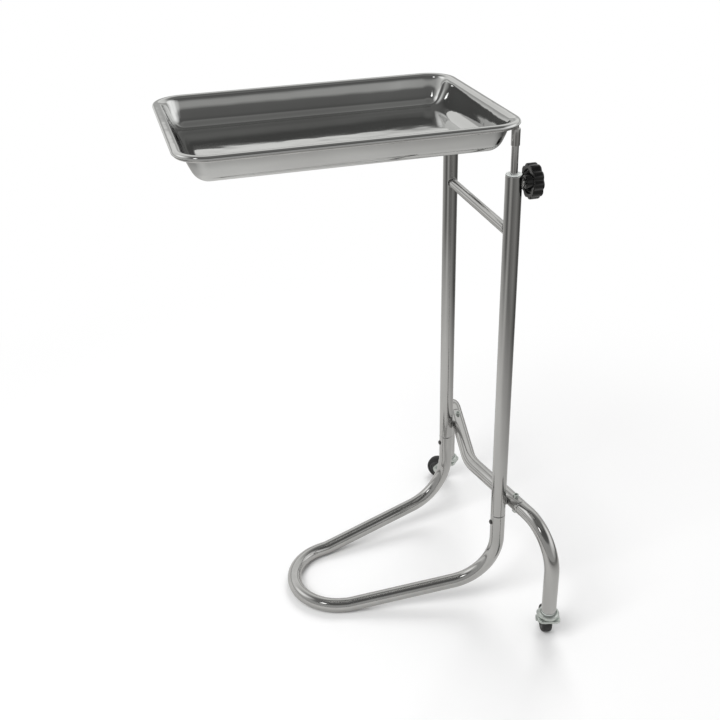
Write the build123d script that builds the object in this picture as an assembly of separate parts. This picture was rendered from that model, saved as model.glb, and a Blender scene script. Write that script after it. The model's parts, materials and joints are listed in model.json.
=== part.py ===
from build123d import *
import math
import os

# Instrument stand: a tray on a sliding carrier over two posts and a tube base on two casters.
# Millimetres, +Z up, floor at z = 0. The tray reaches forward, towards -Y.
# The layout is drawn with the two posts on the X axis, then moved so that the origin is
# the bottom centre of the whole stand.

# Tubes
tube_r = 12.5
tube_wall = 1.5
bore_r = tube_r - tube_wall
swage_r = bore_r - 0.05
swage_length = 40.0

# Posts
post_half_gap = 132.5
post_bottom = 190.8
post_top = 797.0
crossbar_z = 705.0
crossbar_r = 8.0
crossbar_wall = 1.2

# Front loop of the base: two rails that come down from the posts and join in a U on the floor
loop_bend_r = 95.0
loop_corner_z = 64.0
u_radius = 83.0
u_centre_y = -256.0
floor_bend_r = 60.0
floor_run = 12.0
base_screw_z = 175.5
base_screw_r = 2.5

# Rear cross tube and its two legs
rear_angle = 11.7
rear_z = 215.0
rear_bend_r = 100.0
rear_joint_x = 160.0
rear_bolt_x = 142.0
rear_bolt_r = 3.0
leg_x = 250.0
leg_bend_r = 75.0
leg_bottom = 60.0

# Casters
wheel_r = 24.0
wheel_width = 18.0
trail = 22.0
cup_r = 18.0
fork_plate_z = 48.5
fork_plate = 2.0
fork_gap = 21.0
crown_length = 36.0
crown_width = 37.0
crown_corner_r = 8.0
crown_drop = 3.0
axle_r = 3.0
sleeve_r = 4.0
hub_r = 16.5
kingpin_r = 5.0
race_r = 14.0
ball_r = 2.4
ball_count = 10
caster_turn = {"left": -42.0, "right": -105.0}

# Sliding rods and their guides
rod_r = 5.25
rod_bottom = 290.0
socket_r = 6.5
socket_bottom = 840.0
socket_top = 865.0
bush_length = 34.0
bush_collar = 1.2
foot_length = 20.0

# Clamp knobs, on the rear of each post
knob_z = 784.0
stud_r = 4.0
boss_r = 7.0
boss_end_y = 16.0
hub_face_y = 17.5
knob_face_y = 22.0
knob_back_y = 38.0
knob_r = 26.5
knob_lobes = 10
flute_r = 5.0
flute_depth = 2.2
knob_hub_r = 10.0
knob_hollow = 5.0
knob_dish = 1.2
stud_tip_y = 5.6

# Tray and its carrier
rim_top = 882.0
tray_length = 490.0
tray_width = 350.0
tray_rear_y = 5.0
tray_corner_r = 48.0
tray_sheet = 1.0
flange = 12.0
lip_height = 5.0
rim_edge_r = 4.5
tray_depth = 46.0
wall_taper = 22.0
tray_floor_r = 24.0
flange_bend_r = 8.0
carrier_r = 4.0
carrier_inset = tray_sheet + 0.7 + carrier_r
carrier_z = rim_top - tray_sheet - 0.3 - carrier_r

# Values worked out from those above
side_of = {"left": -1, "right": 1}
tray_centre_y = tray_rear_y - tray_length / 2
tan_rear = math.tan(math.radians(rear_angle))
rear_y0 = 2 * tube_r / math.cos(math.radians(rear_angle)) - post_half_gap * tan_rear
leg_y = rear_y0 + leg_x * tan_rear
centre_angle = math.atan2(post_half_gap, -u_centre_y)
tangent_angle = math.asin(u_radius / math.hypot(post_half_gap, u_centre_y))
rail_taper = centre_angle - tangent_angle


def rod(radius, low, high, x=0.0, y=0.0):
    """Upright round bar from z = low to z = high."""
    return Pos(x, y, low) * Cylinder(radius, high - low, align=(Align.CENTER, Align.CENTER, Align.MIN))


def rod_along_y(radius, low, high, x=0.0, z=0.0):
    """Round bar along Y from y = low to y = high."""
    return Pos(x, low, z) * Rot(-90, 0, 0) * Cylinder(radius, high - low, align=(Align.CENTER, Align.CENTER, Align.MIN))


def turned(points):
    """Solid of revolution about Z from (radius, height) points."""
    return revolve(make_face(Plane.XZ * Polyline(*points, close=True)), axis=Axis.Z)


def tube_along(path, outer=tube_r, wall=tube_wall):
    """Open round tube swept along a path."""
    start = Plane(origin=path @ 0, z_dir=path % 0)
    return sweep(start * (Circle(outer) - Circle(outer - wall)), path=path)


def rear_point(x, z=rear_z):
    """Point on the centre line of the rear cross tube."""
    return (x, rear_y0 + abs(x) * tan_rear, z)


def mirrored(shape):
    return shape.mirror(Plane.YZ)


def post(x):
    """Upright tube with its lower end swaged to fit inside the base tube."""
    taper_top = post_bottom + 9
    low = post_bottom - swage_length
    body = turned([
        (bore_r, post_top), (tube_r, post_top), (tube_r, post_bottom), (swage_r, post_bottom),
        (swage_r, low), (swage_r - tube_wall, low), (swage_r - tube_wall, post_bottom), (bore_r, taper_top),
    ])
    body -= rod_along_y(stud_r + 0.3, 0, tube_r + 1, z=knob_z)
    body -= rod_along_y(base_screw_r, -tube_r, 0, z=base_screw_z)
    return Pos(x, 0, 0) * body


def crossbar():
    """Thin tube between the posts, with fish-mouth ends that sit on them."""
    half = post_half_gap
    bar = Rot(0, 90, 0) * (Cylinder(crossbar_r, 2 * half) - Cylinder(crossbar_r - crossbar_wall, 2 * half))
    bar = Pos(0, 0, crossbar_z) * bar
    for x in (-half, half):
        bar -= rod(tube_r, crossbar_z - 20, crossbar_z + 20, x)
    return bar.solids().sort_by(SortBy.VOLUME)[-1]


def base_loop():
    """One tube: down from each post, forward along the rails and round the U on the floor."""
    along = Vector(-math.sin(rail_taper), -math.cos(rail_taper), 0)
    u_start = Vector(u_radius * math.cos(rail_taper), u_centre_y - u_radius * math.sin(rail_taper), tube_r)
    side = FilletPolyline(
        (post_half_gap, 0, post_bottom),
        (post_half_gap, 0, loop_corner_z),
        u_start - along * floor_run,
        u_start,
        radius=[loop_bend_r, floor_bend_r],
    )
    front = ThreePointArc(u_start, (0, u_centre_y - u_radius, tube_r), Vector(-u_start.X, u_start.Y, tube_r))
    path = Wire(side.edges() + [front] + mirrored(side).edges())
    start = Plane(origin=(post_half_gap, 0, post_bottom), z_dir=(0, 0, -1))
    loop = sweep(start * (Circle(tube_r) - Circle(bore_r)), path=path)
    for x in (-post_half_gap, post_half_gap):
        loop -= rod_along_y(base_screw_r, -tube_r - 1, 0, x, base_screw_z)
    return loop


def base_screws():
    """Round-headed screws that hold the posts in the base loop."""
    screw = rod_along_y(base_screw_r, -tube_r - 0.3, -swage_r + 3, z=base_screw_z)
    head = rod_along_y(4.4, -tube_r - 2.6, -tube_r - 0.1, z=base_screw_z)
    head = fillet(head.edges().filter_by(GeomType.CIRCLE).sort_by(Axis.Y)[0], 1.6)
    screw += head
    return Compound([Pos(x, 0, 0) * screw for x in (-post_half_gap, post_half_gap)])


def rear_cross_tube():
    """Shallow V-shaped tube that runs behind both posts."""
    path = FilletPolyline(
        rear_point(-rear_joint_x), rear_point(0), rear_point(rear_joint_x), radius=rear_bend_r
    )
    tube = tube_along(path)
    for x in (-rear_bolt_x, rear_bolt_x):
        tube -= rod(rear_bolt_r, rear_z - 15, rear_z + 15, x, rear_point(x)[1])
    return tube


def rear_leg(side):
    """Bent leg: a swaged end inside the cross tube, a quarter bend and an upright end on the caster."""
    path = FilletPolyline(
        rear_point(rear_joint_x), rear_point(leg_x), rear_point(leg_x, leg_bottom), radius=leg_bend_r
    )
    leg = tube_along(path)
    joint = Plane(origin=rear_point(rear_joint_x), z_dir=Vector(*rear_point(0)) - Vector(*rear_point(rear_joint_x)))
    swage = Pos(0, 0, -6) * extrude(Circle(bore_r + 0.4) - Circle(swage_r - tube_wall), 6)
    swage += extrude(Circle(swage_r) - Circle(swage_r - tube_wall), swage_length)
    leg += joint * swage
    leg -= rod(rear_bolt_r, rear_z - 15, rear_z + 15, rear_bolt_x, rear_point(rear_bolt_x)[1])
    return leg if side > 0 else mirrored(leg)


def leg_bolts():
    """Cap-headed bolts down through the cross tube and the leg ends."""
    head = rod(5.0, rear_z + tube_r, rear_z + tube_r + 4.4)
    head = fillet(head.edges().filter_by(GeomType.CIRCLE).sort_by(Axis.Z)[-1], 1.2)
    bolt = rod(rear_bolt_r, rear_z - tube_r - 8, rear_z + tube_r) + head
    return Compound([Pos(*rear_point(x, 0)) * bolt for x in (-rear_bolt_x, rear_bolt_x)])


def leg_nuts():
    """Hexagon nuts under the cross tube."""
    nut = extrude(RegularPolygon(5.5, 6) - Circle(rear_bolt_r), 5)
    return Compound([
        Pos(*rear_point(x, rear_z - tube_r - 5.2)) * nut for x in (-rear_bolt_x, rear_bolt_x)
    ])


def clamp_boss(x):
    """Threaded boss welded on the rear of the post."""
    boss = rod_along_y(boss_r, 0, boss_end_y, z=knob_z)
    boss -= rod(tube_r, knob_z - 20, knob_z + 20)
    boss -= rod_along_y(stud_r + 0.05, -1, boss_end_y + 1, z=knob_z)
    boss = boss.solids().sort_by(SortBy.VOLUME)[-1]
    return Pos(x, 0, 0) * boss


def guide_bush(x):
    """Plastic plug in the top of the post that the rod slides through."""
    low = post_top - bush_length
    body = turned([
        (rod_r + 0.05, low), (bore_r, low), (bore_r, post_top), (tube_r - 0.3, post_top),
        (tube_r - 0.9, post_top + bush_collar), (rod_r + 0.05, post_top + bush_collar),
    ])
    body -= rod_along_y(stud_r + 0.3, 0, tube_r, z=knob_z)
    return Pos(x, 0, 0) * body


def inner_rod(x):
    """Polished rod that carries the tray and slides in the post."""
    bar = rod(rod_r, rod_bottom, socket_bottom + 8)
    return Pos(x, 0, 0) * chamfer(bar.edges().group_by(Axis.Z)[0], 0.8)


def rod_foot(x):
    """Guide ring on the lower end of the rod, inside the post."""
    foot = rod(bore_r - 0.1, rod_bottom + 2, rod_bottom + 2 + foot_length)
    foot = chamfer(foot.edges().filter_by(GeomType.CIRCLE), 1.0)
    return Pos(x, 0, 0) * (foot - rod(rod_r, rod_bottom, rod_bottom + 30))


def rod_socket(x):
    """Collar that joins the rod to the carrier's stub."""
    socket = rod(socket_r, socket_bottom, socket_top)
    socket = chamfer(socket.edges().group_by(Axis.Z)[-1], 0.8)
    socket -= rod(rod_r, socket_bottom - 1, socket_bottom + 8)
    socket -= rod(carrier_r, socket_bottom + 8, socket_top + 1)
    return Pos(x, 0, 0) * socket


def tray_carrier():
    """Closed rod frame under the tray's flange, with two stubs down into the sockets."""
    length = tray_length - 2 * carrier_inset
    width = tray_width - 2 * carrier_inset
    outline = Pos(0, tray_centre_y, carrier_z) * RectangleRounded(width, length, tray_corner_r - carrier_inset)
    path = outline.face().outer_wire()
    frame = sweep(Plane(origin=path @ 0, z_dir=path % 0) * Circle(carrier_r), path=path)
    for x in (-post_half_gap, post_half_gap):
        frame += rod(carrier_r, socket_bottom + 8, carrier_z, x)
    return frame


def tray():
    """Pressed sheet tray: turned-down rim, flat flange, sloping walls and a rounded flat floor."""

    def pan(inset, depth, floor_r):
        """Solid that fills the tray's hollow, or its outside for a zero inset."""
        opening = RectangleRounded(
            tray_width - 2 * (flange + inset), tray_length - 2 * (flange + inset), tray_corner_r - flange - inset
        )
        body = extrude(opening, -depth, taper=wall_taper)
        return fillet(body.faces().sort_by(Axis.Z)[0].edges(), floor_r)

    rim = extrude(RectangleRounded(tray_width, tray_length, tray_corner_r), -tray_sheet)
    skirt = extrude(RectangleRounded(tray_width, tray_length, tray_corner_r), -lip_height)
    inner = RectangleRounded(
        tray_width - 2 * tray_sheet, tray_length - 2 * tray_sheet, tray_corner_r - tray_sheet
    )
    skirt -= Pos(0, 0, -lip_height) * extrude(inner, lip_height)
    body = rim + skirt
    underside = body.faces().filter_by(Axis.Z).filter_by(lambda face: abs(face.center().Z + tray_sheet) < 0.01)[0]
    body = fillet(underside.outer_wire().edges(), rim_edge_r - tray_sheet)
    body = fillet(body.faces().sort_by(Axis.Z)[-1].outer_wire().edges(), rim_edge_r)
    body += pan(0, tray_depth, tray_floor_r)
    underside = body.faces().filter_by(Axis.Z).filter_by(lambda face: abs(face.center().Z + tray_sheet) < 0.01)[0]
    body = fillet(underside.inner_wires()[0].edges(), flange_bend_r - tray_sheet)
    body -= pan(tray_sheet, tray_depth - tray_sheet, tray_floor_r - tray_sheet)
    mouth = body.faces().filter_by(Axis.Z).sort_by(Axis.Z)[-1].inner_wires()[0].edges()
    body = fillet(mouth, flange_bend_r)
    return Pos(0, tray_centre_y, rim_top) * body


def clamp_stud(x):
    """Threaded stud that presses on the rod, moulded into the knob."""
    stud = rod_along_y(stud_r, stud_tip_y, knob_face_y + 8, z=knob_z)
    stud = chamfer(stud.edges().filter_by(GeomType.CIRCLE).sort_by(Axis.Y)[0], 0.8)
    return Pos(x, 0, 0) * stud


def knob(x):
    """Lobed hand knob with a hollow round its hub and a shallow dish in its outer face."""
    thick = knob_back_y - knob_face_y
    rim_r = 18.5
    bore_end = 8.0
    outline = Circle(knob_r)
    for flute in PolarLocations(knob_r + flute_r - flute_depth, knob_lobes, start_angle=180 / knob_lobes):
        outline -= flute * Circle(flute_r)
    grip = extrude(fillet(outline.vertices(), 2.0), thick)
    grip = fillet(grip.edges().group_by(Axis.Z)[-1], 2.5)
    grip = fillet(grip.edges().group_by(Axis.Z)[0], 1.5)
    grip -= rod(rim_r, 0, knob_hollow)
    grip -= rod(rim_r - 3, thick - knob_dish, thick)
    hub = turned([
        (0, knob_hollow), (0, hub_face_y - knob_face_y), (knob_hub_r - 0.8, hub_face_y - knob_face_y),
        (knob_hub_r, hub_face_y - knob_face_y + 0.8), (knob_hub_r + 1, knob_hollow),
    ])
    grip += hub
    grip -= rod(stud_r, hub_face_y - knob_face_y - 1, bore_end)
    return Pos(x, knob_face_y, knob_z) * Rot(-90, 0, 0) * grip


def caster_socket():
    """Plug in the end of the leg that holds the caster's pin."""
    flange_low = leg_bottom - 1.5
    return turned([
        (kingpin_r, flange_low), (tube_r, flange_low), (tube_r, leg_bottom), (bore_r, leg_bottom),
        (bore_r, leg_bottom + 28), (kingpin_r, leg_bottom + 28),
    ])


def kingpin():
    """Swivel pin: a stem in the leg and a riveted head under the fork plate."""
    head_top = fork_plate_z - 0.3
    return turned([
        (0, head_top - 2.5), (6.0, head_top - 2.5), (8.0, head_top - 1.2), (8.0, head_top),
        (kingpin_r, head_top), (kingpin_r, leg_bottom + 26), (kingpin_r - 1, leg_bottom + 27),
        (0, leg_bottom + 27),
    ])


def swivel_cup():
    """Stamped upper raceway with a ring groove, fixed on the pin under the leg."""
    top = leg_bottom - 1.5
    low = fork_plate_z + fork_plate + 0.5
    sheet = 1.3
    outside = [
        (kingpin_r, top), (11.5, top), (12.2, top - 0.9), (13.0, top - 0.9), (13.8, top), (15.4, top),
        (17.2, top - 1.4), (cup_r, top - 3.2), (cup_r, low),
    ]
    inside = [
        (cup_r - sheet, low), (cup_r - sheet, top - 3.4), (16.2, top - 2.2), (15.2, top - 1.5),
        (14.0, top - 1.5), (12.8, top - 2.3), (12.0, top - 2.3), (11.2, top - 1.5), (kingpin_r, top - 1.5),
    ]
    return turned(outside + inside)


def ball_ring():
    """Loose balls between the cup and the fork."""
    height = fork_plate_z + fork_plate + ball_r
    return Compound([place * Sphere(ball_r) for place in Pos(0, 0, height) * PolarLocations(race_r, ball_count)])


def fork():
    """Pressed fork: a square-shouldered crown with a turned-down edge and two cheeks back to the axle."""
    top = fork_plate_z + fork_plate
    outline = RectangleRounded(crown_width, crown_length, crown_corner_r)
    crown = extrude(Pos(0, 0, top) * outline, -fork_plate - crown_drop)
    crown = fillet(crown.edges().group_by(Axis.Z)[-1], fork_plate)
    hollow = RectangleRounded(
        crown_width - 2 * fork_plate, crown_length - 2 * fork_plate, crown_corner_r - fork_plate
    )
    crown -= extrude(Pos(0, 0, fork_plate_z) * hollow, -crown_drop)
    crown -= rod(kingpin_r + 0.05, fork_plate_z - 1, top + 1)
    crown -= across(Cylinder(wheel_r + 0.4, fork_gap))
    axle = Pos(-trail, wheel_r) * Circle(8.0)
    shoulder = Pos(0, fork_plate_z - 0.5) * Rectangle(crown_length - 4 * fork_plate, 2)
    outline = make_hull(axle.edges() + shoulder.edges()) - Pos(-trail, wheel_r) * Circle(axle_r)
    body = crown
    for x in (-fork_gap / 2 - fork_plate, fork_gap / 2):
        body += Plane(origin=(x, 0, 0), x_dir=(0, 1, 0), z_dir=(1, 0, 0)) * extrude(outline, fork_plate)
    return body


def across(shape):
    """Turn a shape drawn about Z onto the axle's line."""
    return Pos(0, -trail, wheel_r) * Rot(0, 90, 0) * shape


def axle_bolt():
    """Axle: a hexagon-headed bolt through both cheeks."""
    reach = fork_gap / 2 + fork_plate
    head = Pos(0, 0, reach + 0.1) * extrude(RegularPolygon(5.6, 6), 4)
    return across(rod(axle_r, -reach - 5.5, reach + 0.1) + head)


def axle_nut():
    """Nut on the axle's other end."""
    reach = fork_gap / 2 + fork_plate
    return across(Pos(0, 0, -reach - 4.1) * extrude(RegularPolygon(5.6, 6) - Circle(axle_r), 4))


def axle_sleeve():
    """Spacer tube that the wheel turns on, held between the cheeks."""
    return across(Cylinder(sleeve_r, fork_gap) - Cylinder(axle_r, fork_gap))


def wheel_hub():
    """Moulded wheel centre with a boss, a dished web and a rim."""
    half = wheel_width / 2
    bore = sleeve_r + 0.05
    profile = [
        (bore, half + 1), (7.0, half + 1), (7.6, half - 3.5), (13.4, half - 3.5), (14.2, half - 0.4), (hub_r, half - 0.8),
    ]
    lower = [(r, -z) for r, z in reversed(profile)]
    return across(turned(profile + lower))


def tyre():
    """Rubber tread moulded round the wheel centre."""
    half = wheel_width / 2
    section = make_face(Plane.XZ * Polyline(
        (hub_r, half - 0.8), (wheel_r - 3, half), (wheel_r, half - 4), (wheel_r, -half + 4),
        (wheel_r - 3, -half), (hub_r, -half + 0.8), close=True,
    ))
    rounded = fillet(section.vertices().group_by(Axis.X)[-1] + section.vertices().group_by(Axis.X)[-2], 2.0)
    return across(revolve(rounded, axis=Axis.Z))


def both(name, make):
    """The left and the right piece of a pair that stands on the posts."""
    return {f"{name}_{side}": make(sign * post_half_gap) for side, sign in side_of.items()}


def on_casters(name, make):
    """The left and the right piece of a caster, turned as that caster stands."""
    return {
        f"{name}_{side}": Pos(sign * leg_x, leg_y, 0) * Rot(0, 0, caster_turn[side]) * make()
        for side, sign in side_of.items()
    }


def build():
    """Every piece by its name, in the layout's frame."""
    pieces = {
        "crossbar": crossbar(),
        "base_loop": base_loop(),
        "base_screws": base_screws(),
        "rear_cross_tube": rear_cross_tube(),
        "leg_bolts": leg_bolts(),
        "leg_nuts": leg_nuts(),
        "tray_carrier": tray_carrier(),
        "tray": tray(),
    }
    for side, sign in side_of.items():
        pieces[f"rear_leg_{side}"] = rear_leg(sign)
    post_pairs = {
        "post": post, "clamp_boss": clamp_boss, "guide_bush": guide_bush, "inner_rod": inner_rod,
        "rod_foot": rod_foot, "rod_socket": rod_socket, "clamp_stud": clamp_stud, "knob": knob,
    }
    for name, make in post_pairs.items():
        pieces.update(both(name, make))
    caster_pairs = {
        "caster_socket": caster_socket, "kingpin": kingpin, "swivel_cup": swivel_cup, "ball_ring": ball_ring,
        "fork": fork, "axle_bolt": axle_bolt, "axle_nut": axle_nut, "axle_sleeve": axle_sleeve,
        "wheel_hub": wheel_hub, "tyre": tyre,
    }
    for name, make in caster_pairs.items():
        pieces.update(on_casters(name, make))
    return pieces


pieces = build()
box = Compound(list(pieces.values())).bounding_box()
origin = Vector(round(box.center().X, 2), round(box.center().Y, 2), 0)
os.makedirs("parts", exist_ok=True)
for name, piece in pieces.items():
    export_step(Pos(-origin.X, -origin.Y, 0) * piece, f"parts/{name}.step")
print("origin in the layout", origin, "size", box.size)
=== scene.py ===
import json
import math

import bmesh
import bpy
from mathutils import Matrix, Quaternion, Vector


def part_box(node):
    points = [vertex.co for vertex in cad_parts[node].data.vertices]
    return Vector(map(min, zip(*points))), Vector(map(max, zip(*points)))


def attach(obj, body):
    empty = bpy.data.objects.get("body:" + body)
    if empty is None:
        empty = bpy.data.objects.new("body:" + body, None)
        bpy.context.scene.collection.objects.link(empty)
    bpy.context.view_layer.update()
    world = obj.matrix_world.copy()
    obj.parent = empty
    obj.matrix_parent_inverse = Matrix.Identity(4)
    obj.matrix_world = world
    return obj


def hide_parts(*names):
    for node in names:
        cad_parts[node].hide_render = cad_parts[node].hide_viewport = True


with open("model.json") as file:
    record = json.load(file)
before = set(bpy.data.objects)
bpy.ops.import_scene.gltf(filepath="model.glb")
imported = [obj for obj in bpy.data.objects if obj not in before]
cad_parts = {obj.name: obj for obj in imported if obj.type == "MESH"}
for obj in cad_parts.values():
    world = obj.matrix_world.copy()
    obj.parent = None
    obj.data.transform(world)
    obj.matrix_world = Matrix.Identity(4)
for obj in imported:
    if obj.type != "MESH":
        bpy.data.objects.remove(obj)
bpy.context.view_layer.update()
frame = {"nodes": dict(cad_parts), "record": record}
nodes = frame["nodes"]

# Driving sizes in millimetres, the same as the model's
MM = 0.001
tube_r = 12.5
post_bottom = 190.8
post_top = 797.0
post_half_gap = 132.5
loop_bend_r = 95.0
loop_corner_z = 64.0
u_radius = 83.0
u_centre_y = -256.0
floor_bend_r = 60.0
floor_run = 12.0
rear_angle = math.radians(11.7)
rear_z = 215.0
rear_bend_r = 100.0
rear_joint_x = 160.0
rear_bolt_x = 142.0
leg_x = 250.0
leg_bend_r = 75.0
leg_bottom = 60.0
crossbar_z = 705.0
crossbar_r = 8.0
crossbar_sink = 0.4
boss_r = 7.0
knob_z = 784.0
knob_face_y = 22.0
knob_back_y = 38.0
hub_face_y = 17.5
knob_r = 26.5
knob_lobes = 10
flute_depth = 2.2
knob_hub_r = 10.0
knob_hollow = 5.0
knob_dish = 1.2
boss_end_y = 16.0
stud_r = 4.0
stud_tip_y = 5.6
thread_pitch = 1.25
rod_r = 5.25
rod_bottom = 290.0
socket_r = 6.5
socket_bottom = 840.0
rod_top = socket_bottom + 8
socket_top = 865.0
bush_length = 34.0
bush_collar = 1.2
wall = 1.5
rim_top = 882.0
tray_length = 490.0
tray_width = 350.0
tray_rear_y = 5.0
tray_corner_r = 48.0
tray_sheet = 1.0
flange = 12.0
lip_height = 5.0
tray_depth = 46.0
wall_taper = math.radians(22.0)
tray_floor_r = 24.0
flange_bend_r = 8.0
rim_edge_r = 4.5
wall_bow = 0.7
carrier_r = 4.0
carrier_inset = tray_sheet + 0.7 + carrier_r
carrier_z = rim_top - tray_sheet - 0.3 - carrier_r
wheel_r = 24.0
wheel_width = 18.0
trail = 22.0
cup_r = 18.0
fork_plate_z = 48.5
fork_plate = 2.0
fork_gap = 21.0
crown_length = 36.0
crown_width = 37.0
crown_corner_r = 8.0
crown_drop = 3.0
axle_r = 3.0
axle_nut_r = 5.6
sleeve_r = 4.0
hub_r = 16.5
kingpin_r = 5.0
caster_turn = {"left": math.radians(-42.0), "right": math.radians(-105.0)}
base_screw_z = 175.5
rear_bolt_r = 3.0
rear_nut_r = 5.5
rear_weld_r = 5.5
side_of = {"left": -1, "right": 1}
corner_signs = ((1, 1), (-1, 1), (-1, -1), (1, -1))

# Fineness of the meshes: rings of a straight tube at most this far apart, and sides of round forms
longest_run = 60.0
crossbar_sides = 48
weld_sides = 64
bead_unevenness = 0.12
bead_seed = 7

# The middle of the two posts, in the frame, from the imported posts
left_low, left_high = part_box("post_left")
right_low, right_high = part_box("post_right")
layout = Vector(((left_low.x + right_high.x) / 2, (left_low.y + left_high.y) / 2, 0))


def at(x, y, z):
    """A place in the layout of the posts, in millimetres, as a point in the frame."""
    return layout + Vector((x, y, z)) * MM


# Mesh helpers

def new_object(name, data):
    """A new object in the scene."""
    made = bpy.data.objects.new(name, data)
    bpy.context.scene.collection.objects.link(made)
    return made


def around(count):
    """Angles of a full turn in equal steps."""
    return [2 * math.pi * i / count for i in range(count)]


def finished(name, shell, slot, body, *replaced):
    """Turn a bmesh into a smooth piece that rides on a body and stands for some nodes."""
    bmesh.ops.recalc_face_normals(shell, faces=shell.faces)
    mesh = bpy.data.meshes.new(name)
    shell.to_mesh(mesh)
    shell.free()
    for face in mesh.polygons:
        face.use_smooth = True
    mesh.materials.append(finishes[slot])
    piece = new_object(name, mesh)
    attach(piece, body)
    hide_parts(*replaced)


def bridge(shell, rings, closed_ring=True, closed_path=False):
    """Quads between neighbouring rings of vertices."""
    pairs = list(zip(rings, rings[1:]))
    if closed_path:
        pairs.append((rings[-1], rings[0]))
    for ring, following in pairs:
        count = len(ring) if closed_ring else len(ring) - 1
        for i in range(count):
            j = (i + 1) % len(ring)
            shell.faces.new((ring[i], ring[j], following[j], following[i]))


def bent_route(corners, radii, step=math.radians(3)):
    """Points along straight runs joined by tangent arcs."""
    route = [corners[0]]
    for before, corner, after, radius in zip(corners, corners[1:], corners[2:], radii):
        back = (before - corner).normalized()
        onward = (after - corner).normalized()
        half = back.angle(onward) / 2
        centre = corner + (back + onward).normalized() * radius / math.sin(half)
        spoke = corner + back * radius / math.tan(half) - centre
        axis = spoke.cross(-back).normalized()
        turned = math.pi - 2 * half
        count = max(2, round(turned / step))
        route += [
            centre + Quaternion(axis, turned * i / count) @ spoke for i in range(count + 1)
        ]
    route.append(corners[-1])
    return route


def spread(route, longest):
    """The same route with long runs divided."""
    points = [route[0]]
    for start, end in zip(route, route[1:]):
        count = max(1, math.ceil((end - start).length / longest))
        points += [start.lerp(end, (i + 1) / count) for i in range(count)]
    return points


# Rounding of a tube's end, as (distance from the end, depth under the skin) in millimetres
tube_end = ((0.0, 1.8), (0.15, 1.0), (0.5, 0.35), (1.1, 0.0), (1.7, 0.0))


def add_tube(shell, route, radius, sides=48, closed=False):
    """Round tube along a route, with softly rounded closed ends."""
    places = list(route)
    scales = [1.0] * len(places)
    if not closed:
        first = (places[1] - places[0]).normalized()
        last = (places[-2] - places[-1]).normalized()
        rounding = [(run * MM, 1 - depth * MM / radius) for run, depth in tube_end]
        places = [places[0] + first * d for d, _ in rounding] + places[1:-1] + [
            places[-1] + last * d for d, _ in reversed(rounding)
        ]
        scales = [k for _, k in rounding] + scales[1:-1] + [k for _, k in reversed(rounding)]
    ahead = [places[1] - places[0]]
    for before, after in zip(places, places[2:]):
        ahead.append(after - before)
    ahead.append(places[-1] - places[-2])
    if closed:
        ahead[0] = ahead[-1] = places[1] - places[-1]
    side = ahead[0].orthogonal().normalized()
    rings = []
    for place, direction, scale in zip(places, ahead, scales):
        direction = direction.normalized()
        side = (side - direction * side.dot(direction)).normalized()
        other = direction.cross(side)
        rings.append([
            shell.verts.new(place + (side * math.cos(a) + other * math.sin(a)) * radius * scale)
            for a in around(sides)
        ])
    bridge(shell, rings, closed_path=closed)
    if not closed:
        shell.faces.new(rings[0])
        shell.faces.new(rings[-1])


def add_form(shell, levels, placed, sides=64, closed=False):
    """Skin through rings about Z, then placed by a matrix. Each level is (radius, height) in
    millimetres, where the radius is a number or a function of the angle, and 0 closes the skin."""
    rings = []
    for radius, z in levels:
        if radius == 0:
            rings.append([shell.verts.new(placed @ Vector((0, 0, z * MM)))])
            continue
        ring = []
        for a in around(sides):
            r = radius(a) if callable(radius) else radius
            spot = Vector((r * math.cos(a), r * math.sin(a), z)) * MM
            ring.append(shell.verts.new(placed @ spot))
        rings.append(ring)
    pairs = list(zip(rings, rings[1:])) + ([(rings[-1], rings[0])] if closed else [])
    for ring, following in pairs:
        for i in range(sides):
            j = (i + 1) % sides
            corners = [ring[k % len(ring)] for k in (i, j)]
            corners += [following[k % len(following)] for k in (j, i)]
            face = list(dict.fromkeys(corners))
            if len(face) > 2:
                shell.faces.new(face)


def along_y(x, y, z):
    """Placing that turns a form drawn about Z onto the line +Y through a point."""
    return Matrix.Translation(at(x, y, z)) @ Matrix.Rotation(-math.pi / 2, 4, "X")


def eased(points, radius, steps=4):
    """The same open profile with its inner corners rounded."""
    out = [points[0]]
    for before, corner, after in zip(points, points[1:], points[2:]):
        b, c, a = Vector(before), Vector(corner), Vector(after)
        cut = min(radius, (b - c).length * 0.45, (a - c).length * 0.45)
        start = c + (b - c).normalized() * cut
        end = c + (a - c).normalized() * cut
        for i in range(steps + 1):
            t = i / steps
            spot = start.lerp(c, t).lerp(c.lerp(end, t), t)
            out.append((spot.x, spot.y))
    out.append(points[-1])
    return out


def hexagon(across_corners, limit=99.0):
    """Radius function of a hexagon, cut off by a circle for the chamfer."""
    apothem, half_side = across_corners * math.cos(math.pi / 6), math.pi / 6
    return lambda a: min(apothem / math.cos((a + half_side) % (math.pi / 3) - half_side), limit)


def hex_levels(across_corners, low, high):
    """Levels of a chamfered hexagon between two heights."""
    flat = across_corners * math.cos(math.pi / 6)
    full, cut = hexagon(across_corners), hexagon(across_corners, flat + 0.05)
    chamfer = 0.45
    return [
        (flat - 0.3, low), (cut, low), (full, low + chamfer),
        (full, high - chamfer), (cut, high), (flat - 0.3, high),
    ]


def add_nut(shell, across_corners, low, high, placed, first, last):
    """A chamfered hexagon between two heights, closed on its axis at two more."""
    levels = [(0, first)] + hex_levels(across_corners, low, high) + [(0, last)]
    add_form(shell, levels, placed, 48)


# Helpers for node materials

def new_material(name):
    """An empty node material with its shader joined to the output."""
    material = bpy.data.materials.new(name)
    material.use_nodes = True
    tree = material.node_tree
    tree.nodes.clear()
    shader = tree.nodes.new("ShaderNodeBsdfPrincipled")
    output = tree.nodes.new("ShaderNodeOutputMaterial")
    tree.links.new(shader.outputs["BSDF"], output.inputs["Surface"])
    return material, tree, shader


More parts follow.
